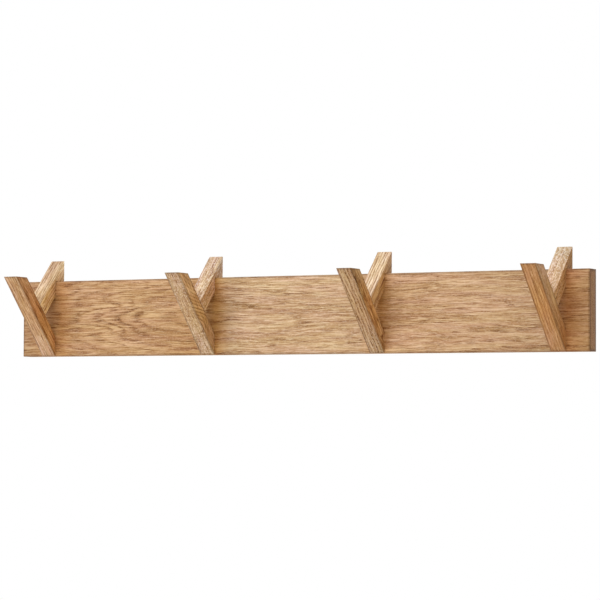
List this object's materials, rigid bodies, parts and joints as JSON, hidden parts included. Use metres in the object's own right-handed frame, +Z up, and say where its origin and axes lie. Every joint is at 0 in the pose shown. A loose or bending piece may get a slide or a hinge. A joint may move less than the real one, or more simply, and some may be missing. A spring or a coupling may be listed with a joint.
{
  "type": "wall coat rack",
  "caption": "Oak wall coat rack: a long flat backboard with a row of forked hooks, each a front arm leaning outwards and a rear arm tied back over the board's top edge.",
  "frame": {"origin": "centre of the backboard's back face, the face that bears on the wall", "axes": "+Z up, +X along the board to the right as seen from the front, +Y into the wall; the hooks reach towards -Y"},
  "size_m": [0.8, 0.1116, 0.126],
  "materials": {
    "backboard_oak": "oiled oak, grain along the board",
    "hook_oak": "oiled oak, grain along each arm",
    "dowel_beech": "plain beech",
    "hook_screw_steel": "yellow zinc plated",
    "hanger_steel": "bright zinc plated"
  },
  "bodies": {
    "root": {"backboard": "backboard_oak", "front_arm_1": "hook_oak", "front_arm_2": "hook_oak", "front_arm_3": "hook_oak", "front_arm_4": "hook_oak", "rear_arm_1": "hook_oak", "rear_arm_2": "hook_oak", "rear_arm_3": "hook_oak", "rear_arm_4": "hook_oak", "arm_dowel_1": "dowel_beech", "arm_dowel_2": "dowel_beech", "arm_dowel_3": "dowel_beech", "arm_dowel_4": "dowel_beech", "foot_screw_1": "hook_screw_steel", "foot_screw_2": "hook_screw_steel", "foot_screw_3": "hook_screw_steel", "foot_screw_4": "hook_screw_steel", "top_screw_1": "hook_screw_steel", "top_screw_2": "hook_screw_steel", "top_screw_3": "hook_screw_steel", "top_screw_4": "hook_screw_steel", "hanger_plate_left": "hanger_steel", "hanger_plate_right": "hanger_steel", "plate_screw_left_lower": "hanger_steel", "plate_screw_left_upper": "hanger_steel", "plate_screw_right_lower": "hanger_steel", "plate_screw_right_upper": "hanger_steel"}
  },
  "joints": []
}
